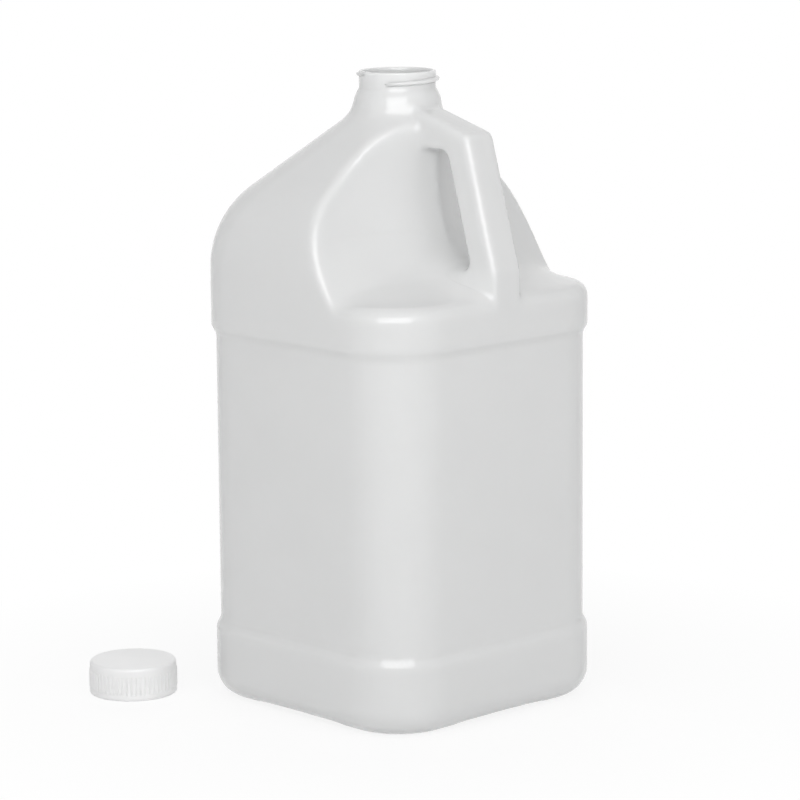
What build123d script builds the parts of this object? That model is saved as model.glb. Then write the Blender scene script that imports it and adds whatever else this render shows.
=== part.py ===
from build123d import *
import math
import os

os.makedirs("parts", exist_ok=True)

# Square one gallon jug, blow moulded in one piece, with its screw cap lying beside it.
# Millimetres. The origin is the middle of the base, +Z is up, the handle is towards +X.

# Body in plan
side = 138.8
corner_radius = 31.0
wall = 1.1

# Bands and the recessed panel between them
band_rise = 2.1
lower_band_height = 36.0
panel_height = 133.4
upper_band_height = 21.6
base_edge_radius = 12.0
lower_band_edge_radius = 5.0
upper_band_edge_radius = 3.0
ledge_edge_radius = 7.0

# Arches between the four feet
arch_rise = 2.6
arch_span = 84.0

# Shoulder: the corner line is upright, then an arc, a straight slope and a hollow into the neck
shoulder_upright = 7.0
shoulder_radius = 45.0
shoulder_slope = 54.5
neck_hollow_radius = 5.0
neck_root_radius = 20.0
shoulder_steps = 5

# Neck and its finish, 38 mm nominal
neck_bead_height = 7.9
finish_height = 8.1
finish_radius = 17.35
neck_bore_radius = 15.5
rim_round = 0.6

# Hand scoops, one each side of the handle: a smooth wall that opens from its nose, which is
# the round at the middle plane, to the round at the side faces. Insets are from the side face.
scoop_nose_inset = 44.0
scoop_nose_rise = 52.0
scoop_nose_radius = 73.3
scoop_mouth_inset = 59.8
scoop_mouth_rise = 59.9
scoop_mouth_radius = 95.0
scoop_hollow = 3.5
crease_round = 4.0

# Handle, its heights measured up from the ledge
handle_width = 17.8
handle_corner_inset = 17.2
handle_corner_rise = 70.3
handle_foot_rise = 11.0
handle_depth = 15.0
handle_edge_radius = 2.8
handle_corner_radius = 4.5
handle_root_cover = 5.4
hole_bottom_rise = 9.0
bridge_thickness = 7.8
hole_corner_radius = 5.5

# Cap
thread_radius = 18.75
cap_thread_clearance = 0.25
cap_wall = 0.95
cap_height = 15.3
cap_top_thickness = 1.6
cap_edge_radius = 1.5
rib_count = 60
rib_height = 0.35
rib_low = 1.8
rib_high = 11.9
liner_thickness = 1.0
liner_clearance = 0.3
cap_side_gap = 18.6

# All cuts run this far past what they cut
overrun = 20.0

half_side = side / 2
corner_diagonal = half_side * math.sqrt(2) - corner_radius * (math.sqrt(2) - 1)
straight_half = half_side - corner_radius
slope = math.radians(shoulder_slope)
lean = math.atan(handle_corner_inset / (handle_corner_rise - handle_foot_rise))
upper_band_bottom = lower_band_height + panel_height
ledge_height = upper_band_bottom + upper_band_height
shoulder_start = ledge_height + shoulder_upright
bend_end_reach = corner_diagonal - shoulder_radius * (1 - math.cos(slope))
bend_end_height = shoulder_start + shoulder_radius * math.sin(slope)
slope_top_reach = neck_root_radius + neck_hollow_radius * (1 - math.cos(slope))
slope_top_height = bend_end_height + (bend_end_reach - slope_top_reach) / math.tan(slope)
neck_root_height = slope_top_height + neck_hollow_radius * math.sin(slope)
slope_root_height = slope_top_height - neck_hollow_radius
neck_in_height = neck_root_height + neck_bead_height
rim_height = neck_in_height + finish_height
cap_bore_radius = thread_radius + cap_thread_clearance
cap_skirt_radius = cap_bore_radius + cap_wall
cap_radius = cap_skirt_radius + rib_height


def rounded_square(half, corner, height):
    """A rounded square face, lying flat at a height."""
    return Pos(0, 0, height) * RectangleRounded(2 * half, 2 * half, corner)


def block(inset, low, high, low_round=0, high_round=0):
    """An upright block of the body's plan, with its lower and upper edges rounded."""
    solid = extrude(rounded_square(half_side - inset, corner_radius - inset, low), amount=high - low)
    if high_round:
        solid = fillet(solid.faces().sort_by(Axis.Z)[-1].edges(), high_round)
    if low_round:
        solid = fillet(solid.faces().sort_by(Axis.Z)[0].edges(), low_round)
    return solid


def shoulder_section(inset, reach, height, turn):
    """The rounded square through a point of the corner line, which faces the given way there."""
    share = (reach - neck_root_radius) / (corner_diagonal - neck_root_radius)
    straight = straight_half * share
    corner = reach - inset * math.cos(turn) - straight * math.sqrt(2)
    return rounded_square(straight + corner, corner, height - inset * math.sin(turn)).face()


def shoulder(inset):
    """The upper body, square below and nearly round at the neck, faced back by the inset."""
    bend = []
    for step in range(shoulder_steps + 1):
        turn = slope * step / shoulder_steps
        reach = corner_diagonal - shoulder_radius * (1 - math.cos(turn))
        bend.append(shoulder_section(inset, reach, shoulder_start + shoulder_radius * math.sin(turn), turn))
    top = shoulder_section(inset, slope_top_reach, slope_top_height, slope)
    column = block(inset, upper_band_bottom + upper_band_edge_radius, shoulder_start)
    return column + loft(bend) + loft([bend[-1], top], ruled=True)


def neck(inset, top_radius, top):
    """The round neck: a hollow out of the slope, a rounded bead and a straight finish."""
    root = neck_root_radius - inset
    foot = (slope_top_reach - inset * math.cos(slope), slope_top_height - inset * math.sin(slope))
    bead_run = neck_root_radius - finish_radius
    bead_radius = (neck_bead_height ** 2 + bead_run ** 2) / (2 * bead_run)
    bead_centre = neck_root_radius - bead_radius
    bead_top = neck_root_height + math.sqrt((bead_radius - inset) ** 2 - (top_radius - bead_centre) ** 2)
    outline = Polyline((top_radius, bead_top), (top_radius, top), (0, top), (0, slope_root_height),
                       (root, slope_root_height), foot)
    hollow = RadiusArc(foot, (root, neck_root_height), neck_hollow_radius + inset)
    bead = RadiusArc((root, neck_root_height), (top_radius, bead_top), -bead_radius + inset)
    return revolve(Plane.XZ * make_face(outline + hollow + bead), Axis.Z)


def scoop_round(inset, share, run, hollow=0):
    """The round outline of a scoop at a distance from the middle plane, a share of the way out."""
    reach = half_side - scoop_nose_inset - (scoop_mouth_inset - scoop_nose_inset) * share - hollow
    rise = scoop_nose_rise + (scoop_mouth_rise - scoop_nose_rise) * share
    radius = scoop_nose_radius + (scoop_mouth_radius - scoop_nose_radius) * share
    place = Plane.XZ.offset(run) * Pos(reach + radius, ledge_height + rise)
    return (place * Circle(radius + inset)).face()


def scoops(inset):
    """Both scoops, each a smooth form that widens from the middle plane and is hollow half way."""
    near = loft([scoop_round(inset, 0, 0), scoop_round(inset, 1 / 2, half_side / 2, scoop_hollow),
                 scoop_round(inset, 1, half_side), scoop_round(inset, 1, half_side + overrun, scoop_hollow / 6)])
    return near + mirror(near, Plane.XZ)


def scooped_shoulder(inset):
    """The shoulder with both scoops, and the creases where they break it rounded."""
    upper = shoulder(inset) - scoops(inset)
    creases = upper.edges().filter_by(
        lambda edge: edge.center().X > 0 and edge.center().Z > ledge_height
        and abs(edge.center().Y) > handle_width / 2 and abs((edge @ 0).Z - (edge @ 1).Z) > wall)
    return fillet(creases, crease_round - inset)


def handle(inset):
    """The upright loop in the middle, from the neck down to the ledge, with rounded edges."""
    corner_reach = half_side - handle_corner_inset
    corner_height = ledge_height + handle_corner_rise
    back = -2 * handle_edge_radius
    root_height = corner_height + (corner_reach - back) * math.tan(lean)
    low = ledge_height - ledge_edge_radius
    outline = Polyline((back, root_height), (corner_reach, corner_height),
                       (half_side, ledge_height + handle_foot_rise), (half_side, low), (back, low), close=True)
    outer = make_face(outline)
    outer = fillet(outer.vertices().group_by(Axis.Y)[-2].sort_by(Axis.X)[-1:], handle_corner_radius)
    hole_top = corner_height - bridge_thickness
    hole_bottom = ledge_height + hole_bottom_rise
    hole_root = half_side - scoop_nose_inset - handle_root_cover
    inner_reach = corner_reach - handle_depth / math.cos(lean)
    top_reach = inner_reach + (corner_height - hole_top) * math.tan(lean)
    bottom_reach = inner_reach + (corner_height - hole_bottom) * math.tan(lean)
    hole = make_face(Polyline((hole_root, hole_top), (top_reach, hole_top),
                              (bottom_reach, hole_bottom), (hole_root, hole_bottom), close=True))
    hole = fillet(hole.vertices(), hole_corner_radius)
    section = offset(outer, amount=-inset) - offset(hole, amount=inset) if inset else outer - hole
    solid = extrude(Plane.XZ * section, amount=handle_width / 2 - inset, both=True)
    return fillet(solid.faces().filter_by(Axis.Y).edges(), handle_edge_radius - inset)


def arches(inset):
    """The two shallow arches that cross under the base and leave four feet."""
    radius = (arch_span ** 2 / 4 + arch_rise ** 2) / (2 * arch_rise)
    bar = Cylinder(radius + inset, side + 2 * overrun, rotation=(0, 90, 0))
    along = Pos(0, 0, arch_rise - radius) * bar
    return along + Rot(0, 0, 90) * along


def jug_form(inset):
    """The jug's solid form, faced back all round by the inset."""
    ledge = block(inset, upper_band_bottom + inset, ledge_height - inset,
                  upper_band_edge_radius - inset, ledge_edge_radius - inset)
    panel = block(inset + band_rise, base_edge_radius, upper_band_bottom + upper_band_edge_radius)
    foot = block(inset, inset, lower_band_height - inset,
                 base_edge_radius - inset, lower_band_edge_radius - inset) - arches(inset)
    return scooped_shoulder(inset) + ledge + panel + foot + handle(inset)


def jug_body():
    """The hollow jug, open at its mouth."""
    outer = jug_form(0) + neck(0, finish_radius, rim_height)
    rim = outer.edges().group_by(Axis.Z)[-1]
    outer = fillet(rim, rim_round)
    return outer - jug_form(wall) - neck(wall, neck_bore_radius, rim_height + overrun)


def cap_shell():
    """The screw cap, open below, with fine upright ribs round its skirt."""
    skirt = Cylinder(cap_skirt_radius, cap_height, align=(Align.CENTER, Align.CENTER, Align.MIN))
    skirt = fillet(skirt.edges().group_by(Axis.Z)[-1], cap_edge_radius)
    lip = Cylinder(cap_radius, rib_low, align=(Align.CENTER, Align.CENTER, Align.MIN))
    corners = []
    corner_shares = ((0.0, 0), (0.2, 1), (0.5, 1), (0.7, 0))
    for rib in range(rib_count):
        for turn_share, height_share in corner_shares:
            turn = 2 * math.pi * (rib + turn_share) / rib_count
            reach = cap_skirt_radius - rib_height + 2 * rib_height * height_share
            corners.append((reach * math.cos(turn), reach * math.sin(turn)))
    ribs = Pos(0, 0, rib_low) * extrude(make_face(Polyline(*corners, close=True)), amount=rib_high - rib_low)
    hollow = Cylinder(cap_bore_radius, cap_height - cap_top_thickness + overrun,
                      align=(Align.CENTER, Align.CENTER, Align.MAX))
    return skirt + lip + ribs - Pos(0, 0, cap_height - cap_top_thickness) * hollow


def cap_liner():
    """The foam disc that lies against the inside of the cap's top."""
    disc = Cylinder(cap_bore_radius - liner_clearance, liner_thickness,
                    align=(Align.CENTER, Align.CENTER, Align.MAX))
    return Pos(0, 0, cap_height - cap_top_thickness) * disc


cap_place = Pos(-half_side - cap_side_gap, -half_side - cap_side_gap, 0)

export_step(jug_body(), "parts/jug_body.step")
export_step(cap_place * cap_shell(), "parts/cap_shell.step")
export_step(cap_place * cap_liner(), "parts/cap_liner.step")
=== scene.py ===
"""The looks of a square one gallon plastic jug and its screw cap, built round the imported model."""

import logging
import math
from dataclasses import dataclass
from enum import Enum

import bmesh
import bpy
import numpy as np
from mathutils import Matrix, Vector


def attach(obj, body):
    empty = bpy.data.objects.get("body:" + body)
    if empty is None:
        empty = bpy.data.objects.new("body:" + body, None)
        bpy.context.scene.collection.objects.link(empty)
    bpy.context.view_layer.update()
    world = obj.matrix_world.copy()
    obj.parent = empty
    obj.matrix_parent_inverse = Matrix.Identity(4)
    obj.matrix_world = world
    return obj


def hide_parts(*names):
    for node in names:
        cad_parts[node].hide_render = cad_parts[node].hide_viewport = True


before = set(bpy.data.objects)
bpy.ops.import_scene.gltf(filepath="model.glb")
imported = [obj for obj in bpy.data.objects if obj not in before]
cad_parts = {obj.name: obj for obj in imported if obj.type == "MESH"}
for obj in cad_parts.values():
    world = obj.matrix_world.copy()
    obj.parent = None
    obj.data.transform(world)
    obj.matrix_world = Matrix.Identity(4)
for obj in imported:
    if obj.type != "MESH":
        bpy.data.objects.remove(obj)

log = logging.getLogger("jug")

MM = 0.001
# In metres, how near a point counts as the same, as on a cut and as level with the rim.
MERGE = 1e-6
CUT = 1e-7
LEVEL = 1e-5
# The least z of a normal that points up.
UPRIGHT = 0.99
BODY = "root"
JUG_NODE = "jug_body"
CAP_CENTRE = (-88.0, -88.0)
WHITE = (1.0, 1.0, 1.0, 1.0)

Profile = list[tuple[float, float]]
Ring = list[bmesh.types.BMVert]
Loop = list[bmesh.types.BMEdge]


class Slot(Enum):
    """The record's material slots."""

    JUG = "jug_plastic"
    CAP = "cap_plastic"
    LINER = "liner_foam"


class Noise(Enum):
    """How a finish breaks up its surface."""

    SKIN = "skin"
    CELLS = "cells"


class Light(Enum):
    """What a lamp does: it lights the surfaces, or it is the white box that they mirror."""

    FILL = "fill"
    SHINE = "shine"


class Value:
    """A shader socket that takes part in sums written as plain expressions."""

    def __init__(self, tree: "Shader", socket: bpy.types.NodeSocket) -> None:
        """Keeps the tree that new Math nodes go into and the output that this value stands for."""
        self.tree = tree
        self.socket = socket

    def _math(self, operation: str, *values: "Value | float") -> "Value":
        """Adds a Math node with these inputs, in order, and takes its result."""
        inputs = dict(enumerate(values))
        return self.tree.value("ShaderNodeMath", 0, {"operation": operation}, inputs)

    def __add__(self, other: "Value | float") -> "Value":
        """The sum of this value and another or a number."""
        return self._math("ADD", self, other)

    def __sub__(self, other: "Value | float") -> "Value":
        """This value less another or a number."""
        return self._math("SUBTRACT", self, other)

    def __mul__(self, other: "Value | float") -> "Value":
        """The product of this value and another or a number."""
        return self._math("MULTIPLY", self, other)

    def __rsub__(self, other: float) -> "Value":
        """A number less this value."""
        return self._math("SUBTRACT", other, self)

    def size(self) -> "Value":
        """The value without its sign."""
        return self._math("ABSOLUTE", self)

    def clipped(self) -> "Value":
        """The value held between 0 and 1."""
        return self._math("MAXIMUM", self._math("MINIMUM", self, 1.0), 0.0)


class Shader:
    """A node tree: a material's, the world's or a modifier's."""

    def __init__(self, tree: bpy.types.NodeTree) -> None:
        """Takes the tree that is to be filled and empties it."""
        self.tree = tree
        tree.nodes.clear()

    def node(self, kind: str, settings: dict | None = None,
             inputs: dict | None = None) -> bpy.types.Node:
        """Adds a node.

        Args:
            kind: The node's type.
            settings: Its own settings, set first.
            inputs: Numbers, colours, sockets or values by input name or number.

        Returns:
            The new node.
        """
        made = self.tree.nodes.new(kind)
        for name, value in (settings or {}).items():
            setattr(made, name, value)
        for name, value in (inputs or {}).items():
            if isinstance(value, Value):
                value = value.socket
            if isinstance(value, bpy.types.NodeSocket):
                self.tree.links.new(value, made.inputs[name])
            else:
                made.inputs[name].default_value = value
        return made

    def value(self, kind: str, output: str | int = 0, settings: dict | None = None,
              inputs: dict | None = None) -> Value:
        """Adds a node and takes one of its outputs, by name or number, as a value."""
        return Value(self, self.node(kind, settings, inputs).outputs[output])


@dataclass(frozen=True)
class Plastic:
    """A moulded or foamed plastic.

    Sizes are in millimetres. The bump is the height of the surface's unevenness. A seam is the
    parting line of the mould, in the plane of the handle.
    """

    name: str
    colour: tuple[float, float, float]
    shade: tuple[float, float, float]
    roughness: float
    roughness_spread: float
    glow: float
    glow_depth: float
    wave: float
    wave_height: float
    grain: float
    grain_height: float
    seam_height: float = 0.0
    seam_width: float = 0.4
    noise: Noise = Noise.SKIN
    gloss: float = 0.4
    index: float = 1.5
    wave_detail: float = 2.0
    wave_harshness: float = 0.45
    grain_detail: float = 3.0
    tone_contrast: float = 1.6
    tone_offset: float = 0.3

    def material(self) -> bpy.types.Material:
        """Builds the material.

        Returns:
            The finished material.
        """
        made = bpy.data.materials.new(self.name)
        made.use_nodes = True
        tree = Shader(made.node_tree)
        place = tree.node("ShaderNodeTexCoord").outputs["Object"]
        wave = tree.value("ShaderNodeTexNoise", "Fac", inputs={
            "Vector": place, "Scale": 1 / (self.wave * MM),
            "Detail": self.wave_detail, "Roughness": self.wave_harshness})
        grain = self._grain(tree, place)
        height = wave * (self.wave_height * MM) + grain * (self.grain_height * MM)
        if self.seam_height:
            height = height + self._seam(tree, place) * (self.seam_height * MM)
        bump = tree.node("ShaderNodeBump", inputs={
            "Height": height, "Distance": 1.0, "Strength": 1.0})
        tone = tree.node("ShaderNodeMix", {"data_type": "RGBA"}, {
            "Factor": (wave * self.tone_contrast - self.tone_offset).clipped(),
            6: (*self.colour, 1.0), 7: (*self.shade, 1.0)})
        lowest = self.roughness - self.roughness_spread / 2
        surface = tree.node("ShaderNodeBsdfPrincipled", inputs={
            "Base Color": tone.outputs[2],
            "Roughness": (wave * self.roughness_spread + lowest).clipped(),
            "Normal": bump.outputs["Normal"],
            "Subsurface Weight": self.glow,
            "Subsurface Radius": (1.0, 1.0, 1.0),
            "Subsurface Scale": self.glow_depth * MM,
            "IOR": self.index,
            "Specular IOR Level": self.gloss,
        })
        tree.node("ShaderNodeOutputMaterial", inputs={"Surface": surface.outputs["BSDF"]})
        return made

    def _grain(self, tree: Shader, place: bpy.types.NodeSocket) -> Value:
        """The fine unevenness.

        Args:
            tree: The tree to build in.
            place: The point on the object.

        Returns:
            A value from 0 to 1.
        """
        scale = {"Vector": place, "Scale": 1 / (self.grain * MM)}
        if self.noise is Noise.CELLS:
            return tree.value("ShaderNodeTexVoronoi", "Distance", inputs=scale)
        return tree.value("ShaderNodeTexNoise", "Fac", inputs={
            **scale, "Detail": self.grain_detail})

    def _seam(self, tree: Shader, place: bpy.types.NodeSocket) -> Value:
        """The parting line.

        Args:
            tree: The tree to build in.
            place: The point on the object.

        Returns:
            A value that is 1 on the line and 0 away from it.
        """
        parts = tree.node("ShaderNodeSeparateXYZ", inputs={"Vector": place})
        away = Value(tree, parts.outputs["Y"]).size() * (2 / (self.seam_width * MM))
        return (1 - away).clipped()


JUG_PLASTIC = Plastic(
    name="milky_jug_plastic", colour=(0.74, 0.745, 0.745), shade=(0.725, 0.73, 0.73),
    roughness=0.14, roughness_spread=0.03, glow=0.50, glow_depth=4.0,
    wave=28.0, wave_height=0.10, grain=1.6, grain_height=0.006, seam_height=0.03)
CAP_PLASTIC = Plastic(
    name="white_cap_plastic", colour=(0.85, 0.85, 0.85), shade=(0.83, 0.83, 0.832),
    roughness=0.34, roughness_spread=0.05, glow=0.10, glow_depth=1.5,
    wave=9.0, wave_height=0.02, grain=0.8, grain_height=0.004)
LINER_FOAM = Plastic(
    name="white_liner_foam", colour=(0.78, 0.78, 0.77), shade=(0.72, 0.72, 0.71),
    roughness=0.75, roughness_spread=0.08, glow=0.0, glow_depth=1.0,
    wave=3.0, wave_height=0.02, grain=0.45, grain_height=0.05, noise=Noise.CELLS)


def add_object(name: str, mesh: bpy.types.Mesh) -> bpy.types.Object:
    """Puts a mesh into the scene, at the origin.

    Args:
        name: The object's and the mesh's name.
        mesh: The mesh.

    Returns:
        The new object.
    """
    mesh.name = name
    made = bpy.data.objects.new(name, mesh)
    bpy.context.scene.collection.objects.link(made)
    return made


def smooth_object(name: str, work: bmesh.types.BMesh) -> bpy.types.Object:
    """Turns every face outwards, shades it smooth and makes an object of the mesh.

    Args:
        name: The object's name.
        work: The closed mesh, which is freed.

    Returns:
        The new object.
    """
    bmesh.ops.recalc_face_normals(work, faces=work.faces[:])
    for face in work.faces:
        face.smooth = True
    mesh = bpy.data.meshes.new(name)
    work.to_mesh(mesh)
    work.free()
    return add_object(name, mesh)


def finish_piece(piece: bpy.types.Object, plastic: bpy.types.Material, slot: Slot,
                 *nodes: str) -> None:
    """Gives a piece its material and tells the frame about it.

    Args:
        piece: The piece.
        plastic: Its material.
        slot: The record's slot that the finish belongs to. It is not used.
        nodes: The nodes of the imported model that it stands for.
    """
    piece.data.materials.clear()
    piece.data.materials.append(plastic)
    for face in piece.data.polygons:
        face.material_index = 0
    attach(piece, BODY)
    if nodes:
        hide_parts(*nodes)
    triangles = sum(len(face.vertices) - 2 for face in piece.data.polygons)
    log.info("%s: %d triangles", piece.name, triangles)


def baked(piece: bpy.types.Object) -> bpy.types.Object:
    """Turns a piece's modifiers into plain mesh.

    Args:
        piece: The piece, whose modifiers are then gone.

    Returns:
        The same piece.
    """
    view = bpy.context.evaluated_depsgraph_get()
    view.update()
    mesh = bpy.data.meshes.new_from_object(piece.evaluated_get(view))
    piece.modifiers.clear()
    old = piece.data
    piece.data = mesh
    bpy.data.meshes.remove(old)
    mesh.name = piece.name
    return piece


def ring(work: bmesh.types.BMesh, radius: float, height: float, count: int,
         centre: tuple[float, float] = (0.0, 0.0)) -> Ring:
    """A level ring of points, in millimetres.

    Args:
        work: The mesh to add to.
        radius: The ring's radius.
        height: Its height.
        count: How many points it has.
        centre: Where its middle is in plan.

    Returns:
        The points in order.
    """
    turns = [2 * math.pi * k / count for k in range(count)]
    return [work.verts.new(((centre[0] + radius * math.cos(t)) * MM,
                            (centre[1] + radius * math.sin(t)) * MM, height * MM)) for t in turns]


def skin(work: bmesh.types.BMesh, rings: list[Ring]) -> None:
    """Joins rings of equal count with faces.

    Args:
        work: The mesh to add to.
        rings: The rings in order.
    """
    for low, high in zip(rings, rings[1:]):
        count = len(low)
        for k in range(count):
            work.faces.new((low[k], low[(k + 1) % count], high[(k + 1) % count], high[k]))


def closed_object(name: str, work: bmesh.types.BMesh, rings: list[Ring]) -> bpy.types.Object:
    """Joins rings, closes the first and the last and makes an object of them.

    Args:
        name: The object's name.
        work: The mesh that the rings are in, which is freed.
        rings: The rings in order.

    Returns:
        The new object.
    """
    skin(work, rings)
    for end in (rings[0], rings[-1]):
        work.faces.new(end)
    return smooth_object(name, work)


def turned_object(name: str, profile: Profile, points: int) -> bpy.types.Object:
    """Turns a profile round the cap's axis.

    Args:
        name: The object's name.
        profile: The profile's points in order.
        points: How many points each ring has.

    Returns:
        The new object.
    """
    work = bmesh.new()
    rings = [ring(work, radius, height, points, CAP_CENTRE) for radius, height in profile]
    return closed_object(name, work, rings)


def arc(centre: tuple[float, float], radius: float, start: float, end: float,
        steps: int) -> Profile:
    """Points of an arc in a profile.

    Args:
        centre: The arc's centre as radius and height.
        radius: The arc's radius.
        start: Where it starts, in degrees from outwards.
        end: Where it ends.
        steps: How many runs it has.

    Returns:
        The points from start to end.
    """
    turns = [math.radians(start + (end - start) * k / steps) for k in range(steps + 1)]
    return [(centre[0] + radius * math.cos(t), centre[1] + radius * math.sin(t)) for t in turns]


def points_of(mesh: bpy.types.Mesh) -> np.ndarray:
    """A mesh's points.

    Args:
        mesh: The mesh.

    Returns:
        One row for each point, in metres.
    """
    places = np.empty(len(mesh.vertices) * 3)
    mesh.vertices.foreach_get("co", places)
    return places.reshape(-1, 3)


def normals_of(mesh: bpy.types.Mesh) -> np.ndarray:
    """The outward directions at a mesh's points.

    Args:
        mesh: The mesh.

    Returns:
        One row for each point.
    """
    normals = np.empty(len(mesh.vertices) * 3)
    mesh.vertex_normals.foreach_get("vector", normals)
    return normals.reshape(-1, 3)


def move_points(mesh: bpy.types.Mesh, places: np.ndarray) -> None:
    """Moves a mesh's points.

    Args:
        mesh: The mesh, which is changed.
        places: One row for each point, in metres.
    """
    mesh.vertices.foreach_set("co", places.ravel())
    mesh.update()


def edge_ends(mesh: bpy.types.Mesh) -> np.ndarray:
    """The points that a mesh's edges join.

    Args:
        mesh: The mesh.

    Returns:
        Two rows, with each edge's first and second point.
    """
    ends = np.empty(len(mesh.edges) * 2, np.int64)
    mesh.edges.foreach_get("vertices", ends)
    return ends.reshape(-1, 2).T


def neighbour_means(places: np.ndarray, ends: np.ndarray) -> np.ndarray:
    """The middle of each point's neighbours.

    Args:
        places: The points.
        ends: The points that each edge joins.

    Returns:
        One row for each point.
    """
    count = len(places)
    first, second = ends
    sums = [np.bincount(first, places[second, k], count)
            + np.bincount(second, places[first, k], count) for k in range(3)]
    degree = np.bincount(first, minlength=count) + np.bincount(second, minlength=count)
    return np.stack(sums, axis=1) / np.maximum(degree, 1)[:, None]


def ramp(distance: np.ndarray, run: float) -> np.ndarray:
    """A share that grows from 0 to 1 over a run.

    Args:
        distance: How far each point is past the run's start.
        run: The run's length.

    Returns:
        A share for each point.
    """
    return np.clip(distance / run, 0, 1)


@dataclass(frozen=True)
class LedgeBlend:
    """Where scoops and handle meet the ledge softly, in millimetres."""

    ledge: float = 191.0
    below: float = 3.0
    above: float = 26.0
    above_run: float = 12.0
    side: float = 8.0
    side_run: float = 8.0

    def share(self, places: np.ndarray) -> np.ndarray:
        """How far each point takes part.

        Args:
            places: The points.

        Returns:
            A share from 0 to 1 for each point.
        """
        x, _, z = places.T
        low = ramp(z - self.ledge + self.below, self.below)
        high = ramp(self.ledge + self.above - z, self.above_run)
        return low * high * ramp(x - self.side, self.side_run)


@dataclass(frozen=True)
class RootBlend:
    """Where the shoulder runs softly into the neck, away from the handle, in millimetres."""

    low: float = 254.0
    low_run: float = 6.0
    high: float = 276.5
    high_run: float = 4.0
    reach: float = 34.0
    reach_run: float = 5.0
    side: float = 8.0
    side_run: float = 12.0
    weight: float = 0.08

    def share(self, places: np.ndarray) -> np.ndarray:
        """How far each point takes part.

        Args:
            places: The points.

        Returns:
            A share from 0 to the weight for each point.
        """
        x, y, z = places.T
        root = ramp(z - self.low, self.low_run) * ramp(self.high - z, self.high_run)
        root = root * ramp(self.side - x, self.side_run)
        return self.weight * root * ramp(self.reach - np.hypot(x, y), self.reach_run)


@dataclass(frozen=True)
class Groove:
    """The soft groove round the neck under its finish, in millimetres."""

    height: float = 279.0
    depth: float = 0.4
    width: float = 0.9

    def share(self, places: np.ndarray, radius: float) -> np.ndarray:
        """The share of its reach that each point is drawn in by, next to none off the groove."""
        off = (places[:, 2] - self.height) / self.width
        return self.depth / radius * np.exp(-off ** 2)


@dataclass(frozen=True)
class Softener:
    """Rounds the outer surface as blowing leaves it: all creases a little, the hollows more."""

    finish_radius: float
    passes: int = 5
    pull: float = 0.6
    push: float = -0.61
    fill_passes: int = 480
    refresh: int = 10
    ledge: LedgeBlend = LedgeBlend()
    root: RootBlend = RootBlend()
    groove: Groove = Groove()

    def apply(self, mesh: bpy.types.Mesh) -> None:
        """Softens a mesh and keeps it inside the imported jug's box.

        Args:
            mesh: The evenly divided mesh, which is changed.
        """
        places, ends = points_of(mesh), edge_ends(mesh)
        for pull in (self.pull, self.push) * self.passes:
            places = places + pull * (neighbour_means(places, ends) - places)
        places = self._filled(mesh, places, ends)
        places[:, :2] *= (1 - self.groove.share(places / MM, self.finish_radius))[:, None]
        corners = points_of(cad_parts[JUG_NODE].data)
        move_points(mesh, np.clip(places, corners.min(axis=0), corners.max(axis=0)))

    def _filled(self, mesh: bpy.types.Mesh, places: np.ndarray, ends: np.ndarray) -> np.ndarray:
        """Fills the hollows in the blends, where points only move outwards.

        Args:
            mesh: The mesh, which is changed on the way.
            places: Its points.
            ends: The points that each edge joins.

        Returns:
            The points' new places.
        """
        part = np.maximum(self.ledge.share(places / MM), self.root.share(places / MM))
        ends = ends[:, (part[ends] > 0).any(axis=0)]
        for step in range(self.fill_passes):
            if step % self.refresh == 0:
                move_points(mesh, places)
                normals = normals_of(mesh)
            out = ((neighbour_means(places, ends) - places) * normals).sum(axis=1)
            places = places + (part * np.maximum(out, 0))[:, None] * normals
        return places


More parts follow.
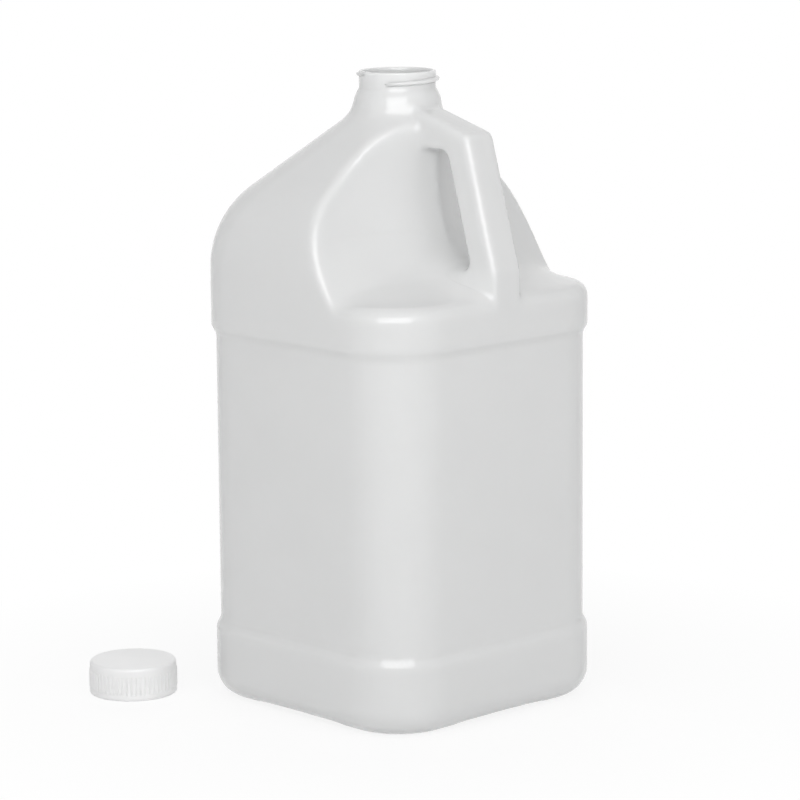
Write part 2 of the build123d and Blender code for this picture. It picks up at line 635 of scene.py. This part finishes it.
@dataclass(frozen=True)
class NeckFinish:
    """The turned upper end of the neck, from the joint over the rim and down the bore."""

    joint: float = 281.0
    joint_gap: float = 0.25
    rim: float = 286.3
    radius: float = 17.35
    bore: float = 15.5
    rim_round: float = 0.7
    rim_runs: int = 6
    side_runs: int = 8
    bore_bevel: float = 0.3
    bore_runs: int = 4
    bore_foot: float = 1.5
    step_rise: float = 0.7
    points: int = 160

    def profile(self, start: float, wall: float) -> Profile:
        """The profile from the joint outside to the joint inside.

        Args:
            start: The outer surface's radius at the joint.
            wall: The wall's thickness.

        Returns:
            The points in order.
        """
        rise = self.rim - self.rim_round - self.joint
        runs = self.side_runs
        outer = [(self.radius + (start - self.radius) * (1 - k / runs) ** 2,
                  self.joint + rise * k / runs) for k in range(runs)]
        lip = arc((self.radius - self.rim_round, self.rim - self.rim_round), self.rim_round,
                  0, 90, self.rim_runs)
        inner = [(self.bore + self.bore_bevel, self.rim), (self.bore, self.rim - self.bore_bevel)]
        depth = rise - self.bore_foot
        bore = [(self.bore, self.rim - self.rim_round - depth * k / self.bore_runs)
                for k in range(1, self.bore_runs + 1)]
        step = [((self.bore + self.radius - wall) / 2, self.joint + self.step_rise)]
        return outer + lip + inner + bore + step

    def join(self, work: bmesh.types.BMesh, wall: float) -> None:
        """Cuts the outer and the inner surface level and joins the turned end to both.

        Args:
            work: The mesh with both surfaces, which is changed.
            wall: The wall's thickness.
        """
        loops = self._open_ends(work, wall)
        start = float(np.mean([v.co.xy.length for e in loops[0] for v in e.verts])) / MM
        rings = [ring(work, radius, height + (0.0 if k else self.joint_gap), self.points)
                 for k, (radius, height) in enumerate(self.profile(start, wall))]
        skin(work, rings)
        for loop, end in zip(loops, (rings[0], rings[-1])):
            around = [work.edges.get(pair) for pair in zip(end, end[1:] + end[:1])]
            bmesh.ops.bridge_loops(work, edges=loop + around)

    def _open_ends(self, work: bmesh.types.BMesh, wall: float) -> list[Loop]:
        """Cuts both surfaces level at the joint.

        Args:
            work: The mesh with both surfaces, which is changed.
            wall: The wall's thickness.

        Returns:
            The outer and the inner edge loop that the cut leaves.
        """
        bmesh.ops.bisect_plane(
            work, geom=work.verts[:] + work.edges[:] + work.faces[:], dist=CUT,
            plane_co=(0, 0, self.joint * MM), plane_no=(0, 0, 1), clear_outer=True)
        middle = (self.radius - wall / 2) * MM
        edges = [e for e in work.edges if e.is_boundary]
        reach = [max(v.co.xy.length for v in e.verts) for e in edges]
        outer = [e for e, r in zip(edges, reach) if r > middle]
        inner = [e for e, r in zip(edges, reach) if r <= middle]
        return [outer, inner]


@dataclass(frozen=True)
class JugBody:
    """The blown jug: its softened outside, its inner wall and its neck."""

    voxel: float = 1.5
    wall: float = 1.1
    inner_share: float = 0.14
    finish: NeckFinish = NeckFinish()

    def build(self, plastic: bpy.types.Material) -> bpy.types.Object:
        """Builds the jug.

        Args:
            plastic: Its material.

        Returns:
            The finished piece.
        """
        outside = self._outside()
        inside = self._inside(outside)
        work = bmesh.new()
        for source in (outside, inside):
            work.from_mesh(source.data)
            bpy.data.objects.remove(source)
        self.finish.join(work, self.wall)
        piece = smooth_object("jug", work)
        finish_piece(piece, plastic, Slot.JUG, JUG_NODE)
        return piece

    def _outside(self) -> bpy.types.Object:
        """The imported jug's outer surface, closed at the mouth, evenly divided and softened.

        Returns:
            A helper object with that surface.
        """
        work = bmesh.new()
        work.from_mesh(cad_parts[JUG_NODE].data)
        bmesh.ops.remove_doubles(work, verts=work.verts[:], dist=MERGE)
        rim = max(v.co.z for v in work.verts) - LEVEL
        flat = [f for f in work.faces if f.normal.z > UPRIGHT and f.calc_center_median().z > rim]
        bmesh.ops.delete(work, geom=flat, context="FACES")
        outer = self._shell_with(max(work.verts, key=lambda v: v.co.x + v.co.y))
        inner = [v for v in work.verts if v not in outer]
        bmesh.ops.delete(work, geom=inner, context="VERTS")
        edges = [e for e in work.edges if e.is_boundary]
        bmesh.ops.holes_fill(work, edges=edges, sides=0)
        piece = smooth_object("outside", work)
        remesh = piece.modifiers.new("even", "REMESH")
        remesh.mode = "VOXEL"
        remesh.voxel_size = self.voxel * MM
        baked(piece)
        Softener(self.finish.radius).apply(piece.data)
        return piece

    @staticmethod
    def _shell_with(start: bmesh.types.BMVert) -> set[bmesh.types.BMVert]:
        """Every point that hangs together with a point.

        Args:
            start: The point.

        Returns:
            The points.
        """
        found, rest = {start}, [start]
        while rest:
            for edge in rest.pop().link_edges:
                for point in edge.verts:
                    if point not in found:
                        found.add(point)
                        rest.append(point)
        return found

    def _inside(self, outside: bpy.types.Object) -> bpy.types.Object:
        """The inner surface: the outer one, set in by the wall and made of fewer faces.

        Args:
            outside: The softened outer surface.

        Returns:
            A helper object with the inner surface.
        """
        piece = add_object("inside", outside.data.copy())
        depth = self.wall * MM
        move_points(piece.data, points_of(piece.data) - normals_of(piece.data) * depth)
        fewer = piece.modifiers.new("fewer", "DECIMATE")
        fewer.ratio = self.inner_share
        return baked(piece)


@dataclass(frozen=True)
class NeckThread:
    """The single right-hand thread round the neck's finish, faded out at both ends."""

    pitch: float = 4.233
    start: float = -62.0
    sweep: float = 322.0
    start_height: float = 281.3
    root: float = 17.2
    crest: float = 18.85
    base_width: float = 2.4
    crest_width: float = 0.8
    fade: float = 70.0
    least_rise: float = 0.12
    sink: float = 0.3
    shoulder_drop: float = 0.25
    shoulder_width: float = 0.15
    crest_flat: float = 0.6
    points: int = 150

    def build(self, plastic: bpy.types.Material) -> bpy.types.Object:
        """Builds the thread.

        Args:
            plastic: Its material.

        Returns:
            The finished piece.
        """
        work = bmesh.new()
        rings = [self._section(work, self.sweep * k / self.points)
                 for k in range(self.points + 1)]
        piece = closed_object("neck_thread", work, rings)
        finish_piece(piece, plastic, Slot.JUG)
        return piece

    def _section(self, work: bmesh.types.BMesh, turned: float) -> Ring:
        """The thread's section at one place.

        Args:
            work: The mesh to add to.
            turned: Degrees from the thread's start.

        Returns:
            The section's points in order.
        """
        grown = min(1.0, turned / self.fade, (self.sweep - turned) / self.fade)
        middle = self.start_height + self.pitch * turned / 360
        lowest = self.root + self.least_rise
        rise = lowest + (self.crest - lowest) * math.sin(grown * math.pi / 2)
        wide, narrow = self.base_width / 2, self.crest_width / 2
        upper = [(rise, narrow * self.crest_flat),
                 (rise - self.shoulder_drop, narrow + self.shoulder_width),
                 (self.root, wide), (self.root - self.sink, wide)]
        shape = [(radius, -height) for radius, height in reversed(upper)] + upper
        turn = math.radians(self.start + turned)
        return [work.verts.new((radius * math.cos(turn) * MM, radius * math.sin(turn) * MM,
                                (middle + height) * MM)) for radius, height in shape]


@dataclass(frozen=True)
class ScrewCap:
    """The ribbed cap, open below, which lies beside the jug."""

    bore: float = 19.0
    skirt: float = 19.95
    height: float = 15.3
    top: float = 1.6
    top_rings: tuple[float, ...] = (6.0, 12.5, 13.2, 16.0)
    edge: float = 1.6
    edge_runs: int = 8
    lip: float = 20.15
    lip_high: float = 0.5
    lip_slope: float = 1.0
    lip_foot: tuple[tuple[float, float], ...] = ((0.4, 0.06), (0.7, 0.0))
    rib_low: float = 2.0
    rib_high: float = 11.9
    rib_gap: float = 0.6
    mouth_bevel: float = 0.3
    mouth_high: float = 3.0
    corner: float = 1.2
    corner_cut: float = 0.35
    inner_rings: tuple[float, ...] = (9.0, 4.0)
    points: int = 120

    def build(self, plastic: bpy.types.Material) -> bpy.types.Object:
        """Builds the cap.

        Args:
            plastic: Its material.

        Returns:
            The finished piece.
        """
        piece = turned_object("cap", self.profile(), self.points)
        RibRing(self).apply(piece, plastic)
        finish_piece(piece, plastic, Slot.CAP, "cap_shell")
        return piece

    def profile(self) -> Profile:
        """The profile from the middle of the top, round the skirt and up inside.

        Returns:
            The points in order.
        """
        top = [(radius, self.height) for radius in self.top_rings]
        edge = arc((self.skirt - self.edge, self.height - self.edge), self.edge,
                   90, 0, self.edge_runs)
        skirt = [(self.skirt, self.rib_high + self.rib_gap),
                 (self.skirt, self.rib_low + self.lip_slope),
                 (self.lip, self.rib_low), (self.lip, self.lip_high)]
        foot = [(self.lip - inwards, height) for inwards, height in self.lip_foot]
        ceiling = self.height - self.top
        bore = [(self.bore + self.mouth_bevel, 0.0), (self.bore, self.mouth_bevel),
                (self.bore, self.mouth_high), (self.bore, ceiling - self.corner),
                (self.bore - self.corner_cut, ceiling - self.corner_cut),
                (self.bore - self.corner, ceiling)]
        inner = [(radius, ceiling) for radius in self.inner_rings]
        return top + edge + skirt + foot + bore + inner


@dataclass(frozen=True)
class RibRing:
    """The upright grip ribs of a cap, placed by a node tree."""

    cap: ScrewCap
    count: int = 60
    width: float = 0.46
    rise: float = 0.46
    sink: float = 0.12
    taper: float = 5.0
    runs: int = 8
    round_points: int = 8

    def apply(self, piece: bpy.types.Object, plastic: bpy.types.Material) -> None:
        """Adds the ribs to a cap.

        Args:
            piece: The turned cap, which is changed.
            plastic: The ribs' material.
        """
        cap = self.cap
        sizes = {"Count": self.count, "Reach": (cap.skirt - self.sink) * MM,
                 "Low": cap.rib_low * MM, "High": cap.rib_high * MM,
                 "Width": self.width * MM, "Rise": self.rise * MM,
                 "Centre": (CAP_CENTRE[0] * MM, CAP_CENTRE[1] * MM, 0.0)}
        tree = self._tree(plastic)
        ribs = piece.modifiers.new("ribs", "NODES")
        ribs.node_group = tree
        for item in tree.interface.items_tree:
            if item.item_type == "SOCKET" and item.in_out == "INPUT" and item.name in sizes:
                ribs[item.identifier] = sizes[item.name]
        baked(piece)

    @staticmethod
    def _sockets(tree: bpy.types.NodeTree) -> None:
        """Gives the node tree its inputs and its output.

        Args:
            tree: The tree, which is changed.
        """
        kinds = {"Geometry": "Geometry", "Count": "Int", "Reach": "Float", "Low": "Float",
                 "High": "Float", "Width": "Float", "Rise": "Float", "Centre": "Vector"}
        for name, kind in kinds.items():
            tree.interface.new_socket(name, in_out="INPUT", socket_type="NodeSocket" + kind)
        tree.interface.new_socket("Geometry", in_out="OUTPUT", socket_type="NodeSocketGeometry")

    def _tree(self, plastic: bpy.types.Material) -> bpy.types.NodeTree:
        """Builds the node tree.

        Args:
            plastic: The material that it sets.

        Returns:
            The tree.
        """
        tree = bpy.data.node_groups.new("cap_ribs", "GeometryNodeTree")
        self._sockets(tree)
        work = Shader(tree)
        given = work.node("NodeGroupInput").outputs
        rib = self._rib(work, given)
        circle = work.node("GeometryNodeMeshCircle", {"fill_type": "NONE"}, {
            "Vertices": given["Count"], "Radius": given["Reach"]})
        place = work.node("GeometryNodeInputPosition")
        turn = work.node("FunctionNodeAlignRotationToVector", {"axis": "X", "pivot_axis": "Z"}, {
            "Vector": place.outputs[0]})
        set_out = work.node("GeometryNodeInstanceOnPoints", inputs={
            "Points": circle.outputs[0], "Instance": rib, "Rotation": turn.outputs[0]})
        moved = work.node("GeometryNodeTransform", inputs={
            "Geometry": set_out.outputs[0], "Translation": given["Centre"]})
        smooth = work.node("GeometryNodeSetShadeSmooth", inputs={"Geometry": moved.outputs[0]})
        joined = work.node("GeometryNodeJoinGeometry", inputs={"Geometry": given["Geometry"]})
        tree.links.new(smooth.outputs[0], joined.inputs[0])
        real = work.node("GeometryNodeRealizeInstances", inputs={"Geometry": joined.outputs[0]})
        dressed = work.node("GeometryNodeSetMaterial", inputs={
            "Geometry": real.outputs[0], "Material": plastic})
        work.node("NodeGroupOutput", inputs={"Geometry": dressed.outputs[0]})
        return tree

    def _rib(self, work: Shader, given: bpy.types.bpy_prop_collection) -> bpy.types.NodeSocket:
        """One rib, upright on the cap's axis, which grows thin towards both ends.

        Args:
            work: The tree to build in.
            given: The tree's inputs.

        Returns:
            The rib's geometry.
        """
        low = work.node("ShaderNodeCombineXYZ", inputs={"Z": given["Low"]})
        high = work.node("ShaderNodeCombineXYZ", inputs={"Z": given["High"]})
        line = work.node("GeometryNodeCurvePrimitiveLine", inputs={
            "Start": low.outputs[0], "End": high.outputs[0]})
        cut = work.node("GeometryNodeResampleCurve", inputs={
            "Curve": line.outputs[0], "Count": self.runs + 1})
        along = work.value("GeometryNodeSplineParameter", "Factor")
        full = ((1 - (along * 2 - 1).size()) * self.taper).clipped()
        slim = work.node("GeometryNodeSetCurveRadius", inputs={
            "Curve": cut.outputs[0], "Radius": full * (2 - full)})
        circle = work.node("GeometryNodeCurvePrimitiveCircle", inputs={
            "Resolution": self.round_points, "Radius": 1.0})
        squash = work.node("ShaderNodeCombineXYZ", inputs={
            "X": given["Rise"], "Y": given["Width"], "Z": 1.0})
        shape = work.node("GeometryNodeTransform", inputs={
            "Geometry": circle.outputs[0], "Scale": squash.outputs[0]})
        radius = work.node("GeometryNodeInputRadius")
        rib = work.node("GeometryNodeCurveToMesh", inputs={
            "Curve": slim.outputs[0], "Profile Curve": shape.outputs[0],
            "Scale": radius.outputs[0], "Fill Caps": True})
        return rib.outputs[0]


@dataclass(frozen=True)
class CapLiner:
    """The foam disc inside the cap."""

    radius: float = 18.6
    low: float = 12.72
    high: float = 13.68
    edge: float = 0.25
    edge_runs: int = 4
    face_rings: tuple[float, float] = (4.0, 12.0)
    points: int = 96

    def build(self, foam: bpy.types.Material) -> bpy.types.Object:
        """Builds the disc.

        Args:
            foam: Its material.

        Returns:
            The finished piece.
        """
        edge, reach = self.edge, self.radius - self.edge
        outline = [(radius, self.high) for radius in self.face_rings]
        outline += arc((reach, self.high - edge), edge, 90, 0, self.edge_runs)
        outline += arc((reach, self.low + edge), edge, 0, -90, self.edge_runs)
        outline += [(radius, self.low) for radius in reversed(self.face_rings)]
        piece = turned_object("liner", outline, self.points)
        finish_piece(piece, foam, Slot.LINER, "cap_liner")
        return piece


@dataclass(frozen=True)
class Lamp:
    """An area lamp that faces the jug, in metres, degrees and watts.

    The azimuth is counted from the camera, to the right.
    """

    name: str
    azimuth: float
    elevation: float
    away: float
    wide: float
    high: float
    power: float
    light: Light = Light.FILL


LAMPS = (
    Lamp("box", -2.0, 30.0, 0.95, 0.86, 0.64, 7.8, Light.SHINE),
    Lamp("front", 0.0, 28.0, 0.95, 0.7, 0.36, 3.3),
    Lamp("left", -45.0, 16.0, 1.1, 0.6, 0.7, 1.85),
    Lamp("right", 50.0, 22.0, 1.1, 0.6, 0.7, 2.1),
    Lamp("top", 0.0, 75.0, 0.9, 0.5, 0.5, 1.0),
    Lamp("back", 180.0, 25.0, 1.2, 0.9, 0.7, 4.2),
)


@dataclass(frozen=True)
class Studio:
    """The camera, the lamps, the pale floor and the white surroundings, in metres."""

    azimuth: float = 46.5
    distance: float = 1.555
    camera_height: float = 0.4174
    pitch: float = 10.25
    roll: float = 0.47
    lens: float = 156.24
    sensor: float = 36.0
    aim_height: float = 0.14
    surround: float = 0.38
    floor_size: float = 12.0
    floor_grey: float = 0.90
    floor_white: float = 0.86
    fade_start: float = 0.11
    fade_run: float = 0.16

    def build(self) -> None:
        """Sets up everything round the object."""
        scene = bpy.context.scene
        scene.view_settings.view_transform = "Standard"
        self._camera(scene)
        for lamp in LAMPS:
            self._lamp(scene, lamp)
        self._world(scene)
        self._floor()

    def _towards(self, azimuth: float, elevation: float) -> Vector:
        """The way to a place round the object.

        Args:
            azimuth: Degrees round from the camera, to the right.
            elevation: Degrees up.

        Returns:
            A unit vector.
        """
        around, up = math.radians(self.azimuth + azimuth), math.radians(elevation)
        return Vector((math.sin(around) * math.cos(up), -math.cos(around) * math.cos(up),
                       math.sin(up)))

    def _camera(self, scene: bpy.types.Scene) -> None:
        """Makes the camera.

        Args:
            scene: The scene that looks through it.
        """
        data = bpy.data.cameras.new("camera")
        data.lens = self.lens
        data.sensor_width = self.sensor
        camera = bpy.data.objects.new("camera", data)
        around = math.radians(self.azimuth)
        camera.location = (self.distance * math.sin(around), -self.distance * math.cos(around),
                           self.camera_height)
        turn = Matrix.Rotation(around, 3, "Z")
        tilt = Matrix.Rotation(math.radians(90 - self.pitch), 3, "X")
        lean = Matrix.Rotation(math.radians(-self.roll), 3, "Z")
        camera.rotation_euler = (turn @ tilt @ lean).to_euler()
        scene.collection.objects.link(camera)
        scene.camera = camera

    def _lamp(self, scene: bpy.types.Scene, lamp: Lamp) -> None:
        """Hangs a lamp.

        Args:
            scene: The scene that it lights.
            lamp: What it is and where it hangs.
        """
        data = bpy.data.lights.new(lamp.name, "AREA")
        data.shape = "RECTANGLE"
        data.size, data.size_y = lamp.wide, lamp.high
        data.energy = lamp.power
        made = bpy.data.objects.new(lamp.name, data)
        made.visible_glossy = lamp.light is Light.SHINE
        made.visible_diffuse = lamp.light is Light.FILL
        way = self._towards(lamp.azimuth, lamp.elevation)
        made.location = Vector((0.0, 0.0, self.aim_height)) + way * lamp.away
        made.rotation_euler = way.to_track_quat("Z", "Y").to_euler()
        scene.collection.objects.link(made)

    @staticmethod
    def _seen(tree: Shader) -> Value:
        """Where a ray comes from the camera, a gloss or a clear surface.

        Args:
            tree: The tree to build in.

        Returns:
            1 for such a ray and 0 for any other.
        """
        path = tree.node("ShaderNodeLightPath")
        camera, glossy, clear = (Value(tree, path.outputs[name]) for name in (
            "Is Camera Ray", "Is Glossy Ray", "Is Transmission Ray"))
        return (camera + glossy + clear).clipped()

    def _world(self, scene: bpy.types.Scene) -> None:
        """White to the eye, a plain dim light to the object.

        Args:
            scene: The scene.
        """
        scene.world = bpy.data.worlds.new("surroundings")
        scene.world.use_nodes = True
        tree = Shader(scene.world.node_tree)
        strength = self._seen(tree) * (1 - self.surround) + self.surround
        back = tree.node("ShaderNodeBackground", inputs={"Color": WHITE, "Strength": strength})
        tree.node("ShaderNodeOutputWorld", inputs={"Surface": back.outputs[0]})

    def _floor(self) -> None:
        """Lays the floor, white to the eye but for the shadow on it."""
        made = bpy.data.materials.new("floor_paper")
        made.use_nodes = True
        tree = Shader(made.node_tree)
        lit = tree.node("ShaderNodeBsdfDiffuse", inputs={"Color": (*[self.floor_grey] * 3, 1.0)})
        white = tree.node("ShaderNodeEmission", inputs={"Color": WHITE, "Strength": 1.0})
        place = tree.node("ShaderNodeTexCoord").outputs["Object"]
        away = tree.value("ShaderNodeVectorMath", "Value", {"operation": "LENGTH"}, {0: place})
        far = ((away - self.fade_start) * (1 / self.fade_run)).clipped()
        both = tree.node("ShaderNodeMixShader", inputs={
            0: self._seen(tree) * (far * (1 - self.floor_white) + self.floor_white),
            1: lit.outputs[0], 2: white.outputs[0]})
        tree.node("ShaderNodeOutputMaterial", inputs={"Surface": both.outputs[0]})
        work = bmesh.new()
        bmesh.ops.create_grid(work, x_segments=1, y_segments=1, size=self.floor_size)
        mesh = bpy.data.meshes.new("floor")
        work.to_mesh(mesh)
        work.free()
        floor = add_object("floor", mesh)
        floor.data.materials.append(made)


def main() -> None:
    """Builds every piece and the studio."""
    logging.basicConfig(level=logging.INFO, format="%(name)s %(message)s")
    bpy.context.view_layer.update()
    jug = JUG_PLASTIC.material()
    cap = CAP_PLASTIC.material()
    JugBody().build(jug)
    NeckThread().build(jug)
    ScrewCap().build(cap)
    CapLiner().build(LINER_FOAM.material())
    Studio().build()


if __name__ == "__main__":
    main()
